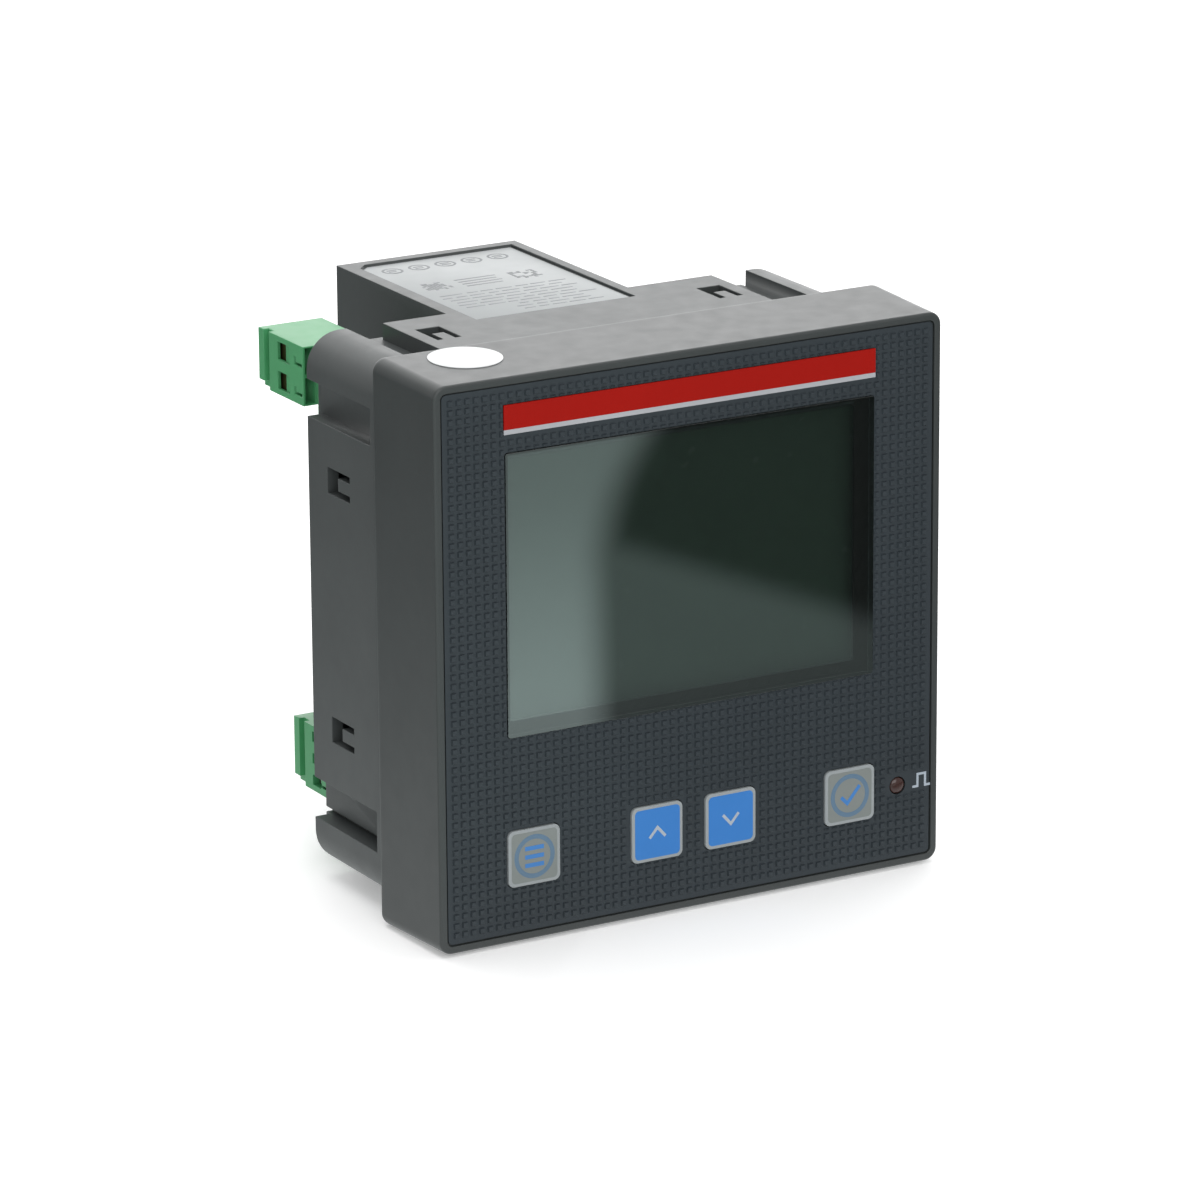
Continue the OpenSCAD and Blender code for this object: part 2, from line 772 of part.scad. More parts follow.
module voltage_plug() { on_right() plug(wide, voltage_poles, voltage_z); }
module voltage_contacts() { on_right() contacts(wide, voltage_poles, voltage_z); }
module voltage_screw_1() { on_right() clamp_screw(wide, 0, voltage_poles, voltage_z); }
module voltage_screw_2() { on_right() clamp_screw(wide, 1, voltage_poles, voltage_z); }
module voltage_screw_3() { on_right() clamp_screw(wide, 2, voltage_poles, voltage_z); }
module voltage_screw_4() { on_right() clamp_screw(wide, 3, voltage_poles, voltage_z); }
module voltage_cage_1() { on_right() cage(wide, 0, voltage_poles, voltage_z); }
module voltage_cage_2() { on_right() cage(wide, 1, voltage_poles, voltage_z); }
module voltage_cage_3() { on_right() cage(wide, 2, voltage_poles, voltage_z); }
module voltage_cage_4() { on_right() cage(wide, 3, voltage_poles, voltage_z); }

bezel();
front_film();
header_strip();
display_window();
display_frame();
lcd_glass();
backlight();
pulse_led();
tact_switches();
display_board();
menu_key();
up_key();
down_key();
enter_key();
main_housing();
rear_panel();
panel_screws();
rating_label();
round_sticker();
main_board();
board_connector();
supply_transformer();
supply_capacitors();
current_transformers();
current_terminal();
terminal_bars();
current_screw_1();
current_screw_2();
current_screw_3();
current_screw_4();
current_screw_5();
current_screw_6();
supply_header();
comms_header();
voltage_header();
header_pins();
supply_plug();
supply_contacts();
supply_screw_1();
supply_screw_2();
supply_cage_1();
supply_cage_2();
comms_plug();
comms_contacts();
comms_screw_1();
comms_screw_2();
comms_screw_3();
comms_cage_1();
comms_cage_2();
comms_cage_3();
voltage_plug();
voltage_contacts();
voltage_screw_1();
voltage_screw_2();
voltage_screw_3();
voltage_screw_4();
voltage_cage_1();
voltage_cage_2();
voltage_cage_3();
voltage_cage_4();
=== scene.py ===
"""Looks of a square panel-mounted smart electric meter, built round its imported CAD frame.

Lengths below are in millimetres and become metres in mm(). The frame has +X to the right seen
from the front, +Y to the rear and +Z up.
"""

import json
import math
import random

import bmesh
import bpy
from mathutils import Matrix, Vector


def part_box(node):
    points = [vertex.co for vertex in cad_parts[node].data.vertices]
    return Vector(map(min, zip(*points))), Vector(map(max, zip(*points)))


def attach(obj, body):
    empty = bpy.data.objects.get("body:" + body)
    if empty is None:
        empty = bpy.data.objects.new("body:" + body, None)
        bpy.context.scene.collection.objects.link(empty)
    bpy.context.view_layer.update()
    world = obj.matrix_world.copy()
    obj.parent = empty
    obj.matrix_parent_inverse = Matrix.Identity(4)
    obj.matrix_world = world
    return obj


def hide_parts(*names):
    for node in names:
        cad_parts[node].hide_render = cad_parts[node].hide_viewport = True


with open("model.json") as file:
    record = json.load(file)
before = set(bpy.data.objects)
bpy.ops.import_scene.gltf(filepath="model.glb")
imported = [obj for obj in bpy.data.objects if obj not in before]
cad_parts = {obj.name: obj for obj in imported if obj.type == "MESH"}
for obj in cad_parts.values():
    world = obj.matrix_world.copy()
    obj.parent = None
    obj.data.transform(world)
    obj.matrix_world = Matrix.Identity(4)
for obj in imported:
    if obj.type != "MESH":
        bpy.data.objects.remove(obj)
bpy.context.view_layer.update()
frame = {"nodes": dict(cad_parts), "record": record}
nodes = frame["nodes"]
scene = bpy.context.scene
scene.view_settings.view_transform = "Standard"
scene.view_settings.look = "None"

MM = 0.001


def mm(*values):
    """Millimetres as a vector in metres."""
    return Vector([v * MM for v in values])


def box_mm(node):
    """A CAD node's lowest and highest corner in millimetres."""
    low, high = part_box(node)
    return low / MM, high / MM


def srgb(*rgb):
    """A display colour, 0 to 255, as linear values."""
    linear = []
    for value in rgb:
        c = value / 255
        linear.append(c / 12.92 if c <= 0.04045 else ((c + 0.055) / 1.055) ** 2.4)
    return tuple(linear)


# ---- Materials ----

def node_material(name):
    """An empty material with a Principled shader; returns it with its nodes and links."""
    material = bpy.data.materials.new(name)
    material.use_nodes = True
    return material, material.node_tree.nodes, material.node_tree.links


def noise(tree, links, scale, detail, vector):
    """A noise texture that reads object coordinates, in features per metre."""
    n = tree.new("ShaderNodeTexNoise")
    n.inputs["Scale"].default_value = scale
    n.inputs["Detail"].default_value = detail
    links.new(vector, n.inputs["Vector"])
    return n


def ramp(tree, links, factor, stops):
    """A colour ramp over a factor; stops are (position, linear colour)."""
    r = tree.new("ShaderNodeValToRGB")
    elements = r.color_ramp.elements
    while len(elements) < len(stops):
        elements.new(0.5)
    for element, (position, colour) in zip(elements, stops):
        element.position = position
        element.color = (*colour, 1)
    links.new(factor, r.inputs["Fac"])
    return r


def shade(colour, factor):
    return tuple(min(1.0, c * factor) for c in colour)


def moulded(name, colour, rough=0.5, grain=2200, depth=0.02, mottle=0.06, sheen_spread=0.06,
            specular=0.5):
    """Moulded plastic: fine grain as bump, with slow changes of tone and gloss."""
    material, tree, links = node_material(name)
    shader = tree["Principled BSDF"]
    place = tree.new("ShaderNodeTexCoord").outputs["Object"]
    slow = noise(tree, links, 45, 3, place)
    tone = ramp(tree, links, slow.outputs["Fac"],
                [(0.3, shade(colour, 1 - mottle)), (0.7, shade(colour, 1 + mottle))])
    links.new(tone.outputs["Color"], shader.inputs["Base Color"])
    mid = noise(tree, links, 320, 2, place)
    gloss = tree.new("ShaderNodeMapRange")
    gloss.inputs["To Min"].default_value = rough - sheen_spread
    gloss.inputs["To Max"].default_value = rough + sheen_spread
    links.new(mid.outputs["Fac"], gloss.inputs["Value"])
    links.new(gloss.outputs["Result"], shader.inputs["Roughness"])
    fine = noise(tree, links, grain, 2, place)
    bump = tree.new("ShaderNodeBump")
    bump.inputs["Strength"].default_value = 0.5
    bump.inputs["Distance"].default_value = depth * MM
    links.new(fine.outputs["Fac"], bump.inputs["Height"])
    links.new(bump.outputs["Normal"], shader.inputs["Normal"])
    shader.inputs["Specular IOR Level"].default_value = specular
    return material


def metal(name, colour, rough=0.3, grain=900):
    """Plated or machined metal with fine wear in its gloss."""
    material = moulded(name, colour, rough=rough, grain=grain, depth=0.01, mottle=0.12,
                       sheen_spread=0.1)
    material.node_tree.nodes["Principled BSDF"].inputs["Metallic"].default_value = 1.0
    return material


def clear_window(name):
    """Polished clear plastic: lets the display show, and mirrors more at a slant."""
    material, tree, links = node_material(name)
    tree.remove(tree["Principled BSDF"])
    through = tree.new("ShaderNodeBsdfTransparent")
    through.inputs["Color"].default_value = (*srgb(222, 228, 226), 1)
    mirror = tree.new("ShaderNodeBsdfGlossy")
    mirror.inputs["Roughness"].default_value = 0.03
    mirror.inputs["Color"].default_value = (0.95, 0.95, 0.95, 1)
    place = tree.new("ShaderNodeTexCoord").outputs["Object"]
    wave = noise(tree, links, 18, 1, place)
    bump = tree.new("ShaderNodeBump")
    bump.inputs["Strength"].default_value = 0.1
    bump.inputs["Distance"].default_value = 0.1 * MM
    links.new(wave.outputs["Fac"], bump.inputs["Height"])
    links.new(bump.outputs["Normal"], mirror.inputs["Normal"])
    weight = tree.new("ShaderNodeLayerWeight")
    rise = tree.new("ShaderNodeMath")
    rise.operation = "POWER"
    rise.inputs[1].default_value = 5
    links.new(weight.outputs["Facing"], rise.inputs[0])
    fresnel = tree.new("ShaderNodeMapRange")
    fresnel.inputs["To Min"].default_value = 0.17
    links.new(rise.outputs["Value"], fresnel.inputs["Value"])
    mix = tree.new("ShaderNodeMixShader")
    links.new(fresnel.outputs["Result"], mix.inputs["Fac"])
    links.new(through.outputs["BSDF"], mix.inputs[1])
    links.new(mirror.outputs["BSDF"], mix.inputs[2])
    links.new(mix.outputs["Shader"], tree["Material Output"].inputs["Surface"])
    return material


HOUSING = moulded("housing_plastic", srgb(66, 70, 70), rough=0.46, grain=2600, depth=0.015,
                  specular=0.48)
BEZEL = moulded("bezel_plastic", srgb(54, 58, 58), rough=0.42, grain=3200, depth=0.01)
FILM = moulded("film_ink", srgb(47, 54, 59), rough=0.5, grain=4200, depth=0.008, specular=0.3)
RED = moulded("header_ink", srgb(149, 15, 6), rough=0.45, grain=3000, depth=0.004, mottle=0.03,
              specular=0.07)
SILVER = moulded("silver_ink", srgb(160, 162, 166), rough=0.4, grain=3000, depth=0.004, specular=0.2)
KEY_GREY = moulded("key_grey", srgb(120, 126, 124), rough=0.42, depth=0.006, mottle=0.04, specular=0.3)
KEY_BLUE = moulded("key_blue", srgb(46, 116, 188), rough=0.42, depth=0.006, mottle=0.03, specular=0.3)
KEY_EDGE = moulded("key_edge", srgb(144, 150, 152), rough=0.4, depth=0.006, mottle=0.03, specular=0.3)
ICON_BLUE = moulded("icon_blue", srgb(58, 118, 182), rough=0.45, depth=0.004, specular=0.3)
RING_BLUE = moulded("ring_blue", srgb(88, 114, 136), rough=0.45, depth=0.004, specular=0.3)
ICON_PALE = moulded("icon_pale", srgb(160, 170, 180), rough=0.45, depth=0.004, specular=0.3)
GREEN = moulded("plug_green", srgb(70, 146, 96), rough=0.42, grain=2400, depth=0.012, mottle=0.07,
                specular=0.4)
LABEL = moulded("label_stock", srgb(150, 154, 155), rough=0.42, grain=1800, depth=0.006, mottle=0.02,
                specular=0.3)
LABEL_INK = moulded("label_ink", srgb(112, 116, 118), rough=0.5, depth=0.002, mottle=0.03, specular=0.3)
STICKER = moulded("sticker_paper", srgb(220, 222, 222), rough=0.6, grain=2600, depth=0.006,
                  mottle=0.01, specular=0.3)
BLACK = moulded("black_plastic", srgb(34, 35, 36), rough=0.45)
MASK = moulded("window_mask", srgb(31, 29, 29), rough=0.5, depth=0.004, specular=0.2)
LCD = moulded("lcd_glass", srgb(67, 80, 70), rough=0.25, grain=12, depth=0.001, mottle=0.04,
              specular=0.2)
WHITE = moulded("diffuser", srgb(232, 232, 226), rough=0.5)
BOARD = moulded("solder_resist", srgb(24, 92, 60), rough=0.35, grain=900, mottle=0.12)
YELLOW = moulded("winding_tape", srgb(214, 172, 52), rough=0.55)
SLEEVE = moulded("shrink_sleeve", srgb(26, 32, 58), rough=0.3)
POTTED = moulded("potted_case", srgb(28, 38, 92), rough=0.35)
LENS = moulded("led_lens", srgb(58, 34, 30), rough=0.18, depth=0.003, specular=0.6)
STEEL = metal("zinc_plate", srgb(196, 198, 202), rough=0.32)
BRASS = metal("brass", srgb(206, 176, 108), rough=0.34)
# Darker brass for the terminal cages: painted shade of the plug windows they sit deep in.
SHADED_BRASS = metal("brass_painted_shade", srgb(100, 88, 60), rough=0.5)
TIN = metal("tin_plate", srgb(206, 206, 202), rough=0.3)
WINDOW = clear_window("clear_window")


# ---- Mesh building ----

SHARP_TURN = 25


def new_piece(name, mesh, materials, body="root", replaces=()):
    """Links a mesh as a piece that rides on a body and may stand for CAD nodes."""
    piece = bpy.data.objects.new(name, mesh)
    scene.collection.objects.link(piece)
    for material in materials:
        mesh.materials.append(material)
    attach(piece, body)
    if replaces:
        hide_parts(*replaces)
    return piece


def smooth_by_angle(mesh, degrees=35):
    mesh.polygons.foreach_set("use_smooth", [True] * len(mesh.polygons))
    mesh.set_sharp_from_angle(angle=math.radians(degrees))


def weight_normals(piece):
    """Keeps flat faces flat beside their rounded edges."""
    modifier = piece.modifiers.new("weighted", "WEIGHTED_NORMAL")
    modifier.keep_sharp = True
    modifier.weight = 80


def mesh_from(bm, name, degrees=35):
    mesh = bpy.data.meshes.new(name)
    bm.to_mesh(mesh)
    bm.free()
    smooth_by_angle(mesh, degrees)
    return mesh


def round_edges(bm, width):
    """Rounds the outward edges that turn by more than SHARP_TURN. Inward ones stay as they are."""
    chosen = [edge for edge in bm.edges if len(edge.link_faces) == 2
              and edge.calc_face_angle(0) > math.radians(SHARP_TURN) and edge.is_convex]
    bmesh.ops.bevel(bm, geom=chosen, offset=width * MM, offset_type="OFFSET", segments=2,
                    profile=0.5, affect="EDGES", clamp_overlap=False)


def from_cad(node, body, material, width):
    """A piece with the CAD node's own shape and softly rounded edges."""
    bm = bmesh.new()
    bm.from_mesh(nodes[node].data)
    bmesh.ops.remove_doubles(bm, verts=bm.verts, dist=0.002 * MM)
    round_edges(bm, width)
    piece = new_piece(node + "_body", mesh_from(bm, node), [material], body, [node])
    weight_normals(piece)
    return piece


def rounded_outline(w, h, r, x=0.0, z=0.0, steps=8):
    """Points of a rectangle with round corners, anticlockwise seen from the front."""
    points = []
    for corner, (sx, sz) in enumerate([(1, 1), (-1, 1), (-1, -1), (1, -1)]):
        for step in range(steps + 1):
            turn = math.radians(90 * corner + 90 * step / steps)
            points.append((x + sx * (w / 2 - r) + r * math.cos(turn),
                           z + sz * (h / 2 - r) + r * math.sin(turn)))
    return points


def circle_outline(x, z, r, steps=40):
    return [(x + r * math.cos(2 * math.pi * i / steps), z + r * math.sin(2 * math.pi * i / steps))
            for i in range(steps)]


def cut_plate(outlines, y_front, y_rear, edge=0.05):
    """A bmesh plate that faces the front, with holes, its front and rear edges rounded."""
    curve = bpy.data.curves.new("outline", "CURVE")
    curve.dimensions = "2D"
    curve.fill_mode = "BOTH"
    curve.extrude = (y_rear - y_front) / 2 * MM - edge * MM
    curve.bevel_depth = edge * MM
    curve.bevel_resolution = 1
    curve.offset = -edge * MM
    for points in outlines:
        spline = curve.splines.new("POLY")
        spline.points.add(len(points) - 1)
        for point, (x, z) in zip(spline.points, points):
            point.co = (x * MM, z * MM, 0, 1)
        spline.use_cyclic_u = True
    holder = bpy.data.objects.new("outline", curve)
    scene.collection.objects.link(holder)
    depsgraph = bpy.context.evaluated_depsgraph_get()
    mesh = bpy.data.meshes.new_from_object(holder.evaluated_get(depsgraph))
    bpy.data.objects.remove(holder)
    bm = bmesh.new()
    bm.from_mesh(mesh)
    bpy.data.meshes.remove(mesh)
    bmesh.ops.remove_doubles(bm, verts=bm.verts, dist=0.001 * MM)
    middle = (y_front + y_rear) / 2
    for v in bm.verts:
        v.co = Vector((v.co.x, middle * MM - v.co.z, v.co.y))
    bmesh.ops.recalc_face_normals(bm, faces=bm.faces)
    return bm


def plate_piece(name, outlines, y_front, y_rear, material, body="root", replaces=(),
                edge=0.05):
    bm = cut_plate(outlines, y_front, y_rear, edge)
    piece = new_piece(name, mesh_from(bm, name), [material], body, replaces)
    weight_normals(piece)
    return piece


def stroke_outline(points, width):
    """Outline of a line of this width through the points, with square ends."""
    left, right = [], []
    for i, (x, z) in enumerate(points):
        before = points[i - 1] if i > 0 else None
        after = points[i + 1] if i < len(points) - 1 else None
        directions = []
        for a, b in ((before, (x, z)), ((x, z), after)):
            if a is not None and b is not None:
                step = Vector((b[0] - a[0], b[1] - a[1])).normalized()
                directions.append(step)
        along = sum(directions, Vector((0, 0))).normalized()
        across = Vector((-along.y, along.x))
        stretch = 1 / max(0.3, across.dot(Vector((-directions[0].y, directions[0].x))))
        left.append((x + across.x * width / 2 * stretch, z + across.y * width / 2 * stretch))
        right.append((x - across.x * width / 2 * stretch, z - across.y * width / 2 * stretch))
    return right + left[::-1]


def join(target, extra):
    """Adds the second bmesh to the first."""
    mesh = bpy.data.meshes.new("join")
    extra.to_mesh(mesh)
    extra.free()
    target.from_mesh(mesh)
    bpy.data.meshes.remove(mesh)


def add_block(bm, low, high, taper=0.0):
    """A block between two corners; its front face is smaller by the taper all round."""
    corners = []
    for y, shrink in ((high[1], 0.0), (low[1], taper)):
        for x, z in ((low[0] + shrink, low[2] + shrink), (high[0] - shrink, low[2] + shrink),
                     (high[0] - shrink, high[2] - shrink), (low[0] + shrink, high[2] - shrink)):
            corners.append(bm.verts.new(mm(x, y, z)))
    for ring in ((0, 1, 2, 3), (7, 6, 5, 4), (0, 4, 5, 1), (1, 5, 6, 2), (2, 6, 7, 3), (3, 7, 4, 0)):
        bm.faces.new([corners[i] for i in ring])


# ---- Places, read from the frame ----

bezel_low, bezel_high = box_mm("bezel")
FRONT = bezel_low.y
HALF = bezel_high.x
film_low, film_high = box_mm("front_film")
FILM_FLOOR = film_high.y
FILM_FACE = film_low.y
FILM_HALF = film_high.x
window_low, window_high = box_mm("display_window")
WINDOW_W = window_high.x - window_low.x
WINDOW_H = window_high.z - window_low.z
WINDOW_Z = (window_high.z + window_low.z) / 2
strip_low, strip_high = box_mm("header_strip")
led_low, led_high = box_mm("pulse_led")
LED_X = (led_low.x + led_high.x) / 2
LED_Z = (led_low.z + led_high.z) / 2
LED_R = (led_high.x - led_low.x) / 2
KEYS = ["menu_key", "up_key", "down_key", "enter_key"]
KEY_FLANGE = 0.7
KEY_GAP = 0.15


def key_place(key):
    """Centre x and z, width and height of a key's face."""
    low, high = box_mm(key)
    return ((low.x + high.x) / 2, (low.z + high.z) / 2,
            high.x - low.x - 2 * KEY_FLANGE, high.z - low.z - 2 * KEY_FLANGE)


# ---- Bezel ----

def bezel_loop(bm, y, half, radius):
    """One closed loop of the bezel's section, as vertices."""
    return [bm.verts.new(mm(x, y, z)) for x, z in rounded_outline(2 * half, 2 * half, radius, steps=12)]


def bridge(bm, a, b):
    for i in range(len(a)):
        j = (i + 1) % len(a)
        bm.faces.new((a[i], a[j], b[j], b[i]))


def front_holes():
    """Outlines of the window, keys and LED openings in the front."""
    holes = [rounded_outline(WINDOW_W + 0.2, WINDOW_H + 0.2, 0.6, 0, WINDOW_Z, steps=4)]
    for key in KEYS:
        x, z, w, h = key_place(key)
        holes.append(rounded_outline(w + 2 * KEY_GAP, h + 2 * KEY_GAP, 1.25, x, z, steps=6))
    holes.append(circle_outline(LED_X, LED_Z, LED_R + 0.1))
    return holes


BEZEL_BORE = 45.9
BEZEL_DRAFT = 0.5
FLOOR_REAR = FRONT + 2.6


def bezel_section():
    """The bezel's section as loops of depth, half size and corner radius, from the rear round."""
    lip_half = FILM_HALF + 0.25
    front_half = HALF - BEZEL_DRAFT
    section = [(0.0, BEZEL_BORE, 1.0), (0.0, BEZEL_BORE + 0.2, 1.1), (0.0, HALF - 1.0, 1.5)]
    for step in range(1, 7):
        turn = math.radians(90 * step / 6)
        section.append((-0.9 + 0.9 * math.cos(turn), HALF - 1.0 + 1.0 * math.sin(turn),
                        1.5 + 0.7 * math.sin(turn)))
    round_r = 0.5
    for part in (0.0, 0.35, 0.7):
        section.append((-1.5 - part * (-FRONT - 2.5), HALF - BEZEL_DRAFT * part, 2.2))
    for step in range(0, 7):
        turn = math.radians(90 * step / 6)
        section.append((FRONT + round_r - round_r * math.sin(turn),
                        front_half - round_r + round_r * math.cos(turn),
                        2.2 - round_r + round_r * math.cos(turn)))
    section.append((FRONT, lip_half + 0.16, 1.16))
    for step in range(1, 4):
        turn = math.radians(90 * step / 3)
        section.append((FRONT + 0.14 - 0.14 * math.cos(turn), lip_half + 0.14 - 0.14 * math.sin(turn),
                        1.0))
    section.append((FILM_FLOOR + 0.2, lip_half, 1.0))
    section.append((FILM_FLOOR + 0.2, lip_half - 0.6, 0.6))
    section.append((FLOOR_REAR, lip_half - 0.6, 0.6))
    section.append((FLOOR_REAR, BEZEL_BORE, 1.0))
    return section


def make_bezel():
    bm = bmesh.new()
    loops = [bezel_loop(bm, *entry) for entry in bezel_section()]
    for a, b in zip(loops, loops[1:] + loops[:1]):
        bridge(bm, a, b)
    floor_side = 2 * FILM_HALF - 0.5
    outer = rounded_outline(floor_side, floor_side, 0.6, steps=4)
    window = rounded_outline(WINDOW_W + 0.2, WINDOW_H + 0.2, 0.6, 0, WINDOW_Z, steps=4)
    join(bm, cut_plate([outer] + front_holes(), FILM_FLOOR, FLOOR_REAR, 0.02))
    ledge = rounded_outline(WINDOW_W - 2.6, WINDOW_H - 2.6, 0.6, 0, WINDOW_Z, steps=4)
    join(bm, cut_plate([window, ledge], window_high.y, FLOOR_REAR, 0.05))
    bmesh.ops.recalc_face_normals(bm, faces=bm.faces)
    piece = new_piece("bezel_shell", mesh_from(bm, "bezel_shell", 30), [BEZEL], "root",
                      ["bezel"])
    weight_normals(piece)


# ---- Textured film ----

PAD_PITCH = 1.56
PAD_SIZE = 1.06
PAD_RISE = 0.18
PAD_TAPER = 0.17
PAD_GROUND = 0.13
PAD_LAST = 28


def trimmed(pad, block):
    """A pad's rectangle without the part under a keep-out block; None if too little is left."""
    x0, x1, z0, z1 = pad
    a, b, c, d = block
    if x0 >= b or x1 <= a or z0 >= d or z1 <= c:
        return pad
    left = [(b, x1, z0, z1), (x0, a, z0, z1), (x0, x1, d, z1), (x0, x1, z0, c)]
    best = max(left, key=lambda r: min(r[1] - r[0], r[3] - r[2]))
    return best if min(best[1] - best[0], best[3] - best[2]) > 0.35 else None


def pad_spots():
    """Rectangles of the raised pads, clear of the strip, window, keys, LED and its mark."""
    blocks = [(strip_low.x - 0.15, strip_high.x + 0.15, strip_low.z - 0.15, strip_high.z + 0.15),
              (window_low.x - 0.25, window_high.x + 0.25, window_low.z - 0.25, window_high.z + 0.25),
              (LED_X - LED_R - 0.3, LED_X + LED_R + 0.3, LED_Z - LED_R - 0.3, LED_Z + LED_R + 0.3),
              (LED_X, FILM_HALF, LED_Z - 1.6, LED_Z + 1.9)]
    for key in KEYS:
        x, z, w, h = key_place(key)
        blocks.append((x - w / 2 - 0.3, x + w / 2 + 0.3, z - h / 2 - 0.3, z + h / 2 + 0.3))
    reach = PAD_SIZE / 2
    spots = []
    for i in range(-PAD_LAST - 1, PAD_LAST + 1):
        for j in range(-PAD_LAST - 1, PAD_LAST + 1):
            x, z = (i + 0.5) * PAD_PITCH, (j + 0.5) * PAD_PITCH
            pad = (x - reach, x + reach, z - reach, z + reach)
            for block in blocks:
                pad = pad and trimmed(pad, block)
            if pad:
                spots.append(pad)
    return spots


def make_film():
    outer = rounded_outline(2 * FILM_HALF, 2 * FILM_HALF, 0.8, steps=6)
    strip = rounded_outline(strip_high.x - strip_low.x + 0.1, strip_high.z - strip_low.z + 0.1, 0.2,
                            0, (strip_low.z + strip_high.z) / 2, steps=2)
    bm = cut_plate([outer, strip] + front_holes(), FILM_FACE + PAD_GROUND, FILM_FLOOR, 0.03)
    for x0, x1, z0, z1 in pad_spots():
        add_block(bm, (x0, FILM_FACE - PAD_RISE, z0), (x1, FILM_FACE + PAD_GROUND + 0.03, z1),
                  PAD_TAPER)
    new_piece("textured_film", mesh_from(bm, "textured_film", 20), [FILM], "root",
              ["front_film"])


def make_strip():
    middle = (strip_low.x + strip_high.x) / 2
    width = strip_high.x - strip_low.x
    line_h = 0.8
    line = rounded_outline(width, line_h, 0.1, middle, strip_low.z + line_h / 2, steps=2)
    red_h = strip_high.z - strip_low.z - line_h
    band = rounded_outline(width, red_h, 0.1, middle, strip_high.z - red_h / 2, steps=2)
    face = FILM_FACE - 0.03
    plate_piece("header_band", [band], face, FILM_FLOOR, RED,
                replaces=["header_strip"], edge=0.02)
    plate_piece("header_line", [line], face, FILM_FLOOR, SILVER, edge=0.02)


# ---- Display ----

def make_display():
    pane = rounded_outline(WINDOW_W, WINDOW_H, 0.5, 0, WINDOW_Z, steps=4)
    plate_piece("window_pane", [pane], window_low.y, window_high.y - 0.02, WINDOW,
                replaces=["display_window"], edge=0.05)
    left, right = window_low.x + 1.3, window_high.x - 2.9
    foot, head = window_low.z + 2.3, window_high.z - 0.9
    opening = [(left, foot), (right, foot), (right, head), (left, head)]
    plate_piece("window_mask", [pane, opening], window_high.y - 0.02, window_high.y, MASK,
                edge=0.004)
    from_cad("display_frame", "root", BLACK, 0.2)
    lcd_low, lcd_high = box_mm("lcd_glass")
    glass = rounded_outline(lcd_high.x - lcd_low.x, lcd_high.z - lcd_low.z, 0.4, 0, WINDOW_Z, steps=4)
    plate_piece("lcd_cell", [glass], lcd_low.y, lcd_high.y, LCD,
                replaces=["lcd_glass"], edge=0.1)


def make_led():
    """Domed lens, turned round its axis."""
    bm = bmesh.new()
    base_y = led_high.y
    profile = [(LED_R, base_y)]
    for step in range(0, 9):
        turn = math.radians(90 * step / 8)
        profile.append((LED_R * math.cos(turn), led_low.y + 0.7 - 0.7 * math.sin(turn)))
    steps = 32
    rings = []
    for radius, y in profile[:-1]:
        rings.append([bm.verts.new(mm(LED_X + radius * math.cos(2 * math.pi * i / steps), y,
                                      LED_Z + radius * math.sin(2 * math.pi * i / steps)))
                      for i in range(steps)])
    for a, b in zip(rings, rings[1:]):
        bridge(bm, a, b)
    tip = bm.verts.new(mm(LED_X, profile[-1][1], LED_Z))
    for i in range(steps):
        bm.faces.new((rings[-1][i], rings[-1][(i + 1) % steps], tip))
    bm.faces.new(rings[0][::-1])
    bmesh.ops.recalc_face_normals(bm, faces=bm.faces)
    new_piece("led_dome", mesh_from(bm, "led_dome", 40), [LENS], "root", ["pulse_led"])


def make_pulse_mark():
    """Square-wave mark beside the LED, printed on the film."""
    x, z, w, h, foot = LED_X + 2.95, LED_Z - 0.75, 1.5, 2.1, 1.0
    points = [(x, z), (x + foot, z), (x + foot, z + h), (x + foot + w, z + h), (x + foot + w, z),
              (x + 2 * foot + w, z)]
    plate_piece("pulse_mark", [stroke_outline(points, 0.42)], FILM_FACE + PAD_GROUND - 0.02,
                FILM_FACE + PAD_GROUND + 0.05,
                ICON_PALE, edge=0.005)


# ---- Keys ----

def key_outline(x, z, w, h, inset):
    return rounded_outline(w - 2 * inset, h - 2 * inset, 1.1 - inset * 0.6, x, z, steps=6)


def icon_strokes(key, x, z):
    """Centre lines and width of the mark on a key."""
    if key == "menu_key":
        return [[(x - 1.75, z + dz), (x + 1.75, z + dz)] for dz in (-1.45, 0, 1.45)], 0.72
    if key == "up_key":
        return [[(x - 1.5, z - 0.8), (x, z + 0.9), (x + 1.5, z - 0.8)]], 0.5
    if key == "down_key":
        return [[(x - 1.5, z + 0.8), (x, z - 0.9), (x + 1.5, z + 0.8)]], 0.5
    return [[(x - 1.7, z - 0.1), (x - 0.5, z - 1.3), (x + 1.9, z + 1.5)]], 0.62


def make_key(key):
    x, z, w, h = key_place(key)
    low, high = box_mm(key)
    grey = key in ("menu_key", "enter_key")
    face = low.y
    flange_y = FLOOR_REAR + 0.1
    bm = cut_plate([key_outline(x, z, w, h, 0)], face, flange_y, 0.12)
    join(bm, cut_plate([key_outline(x, z, w + 2 * KEY_FLANGE, h + 2 * KEY_FLANGE, 0)], flange_y,
                       flange_y + 1, 0.05))
    join(bm, cut_plate([circle_outline(x, z, 1.8)], flange_y + 1, high.y, 0.1))
    new_piece(key + "_cap", mesh_from(bm, key), [KEY_EDGE], key, [key])
    field = key_outline(x, z, w, h, 0.55)
    plate_piece(key + "_field", [field], face - 0.02, face + 0.2, KEY_GREY if grey else KEY_BLUE,
                key, edge=0.01)
    if grey:
        ring = [circle_outline(x, z, 3.75, 48), circle_outline(x, z, 2.95, 48)]
        plate_piece(key + "_ring", ring, face - 0.03, face + 0.1, RING_BLUE, key, edge=0.004)
    strokes, width = icon_strokes(key, x, z)
    outlines = [stroke_outline(points, width) for points in strokes]
    plate_piece(key + "_mark", outlines, face - 0.04, face + 0.1, ICON_BLUE if grey else ICON_PALE,
                key, edge=0.005)


# ---- Label and sticker ----

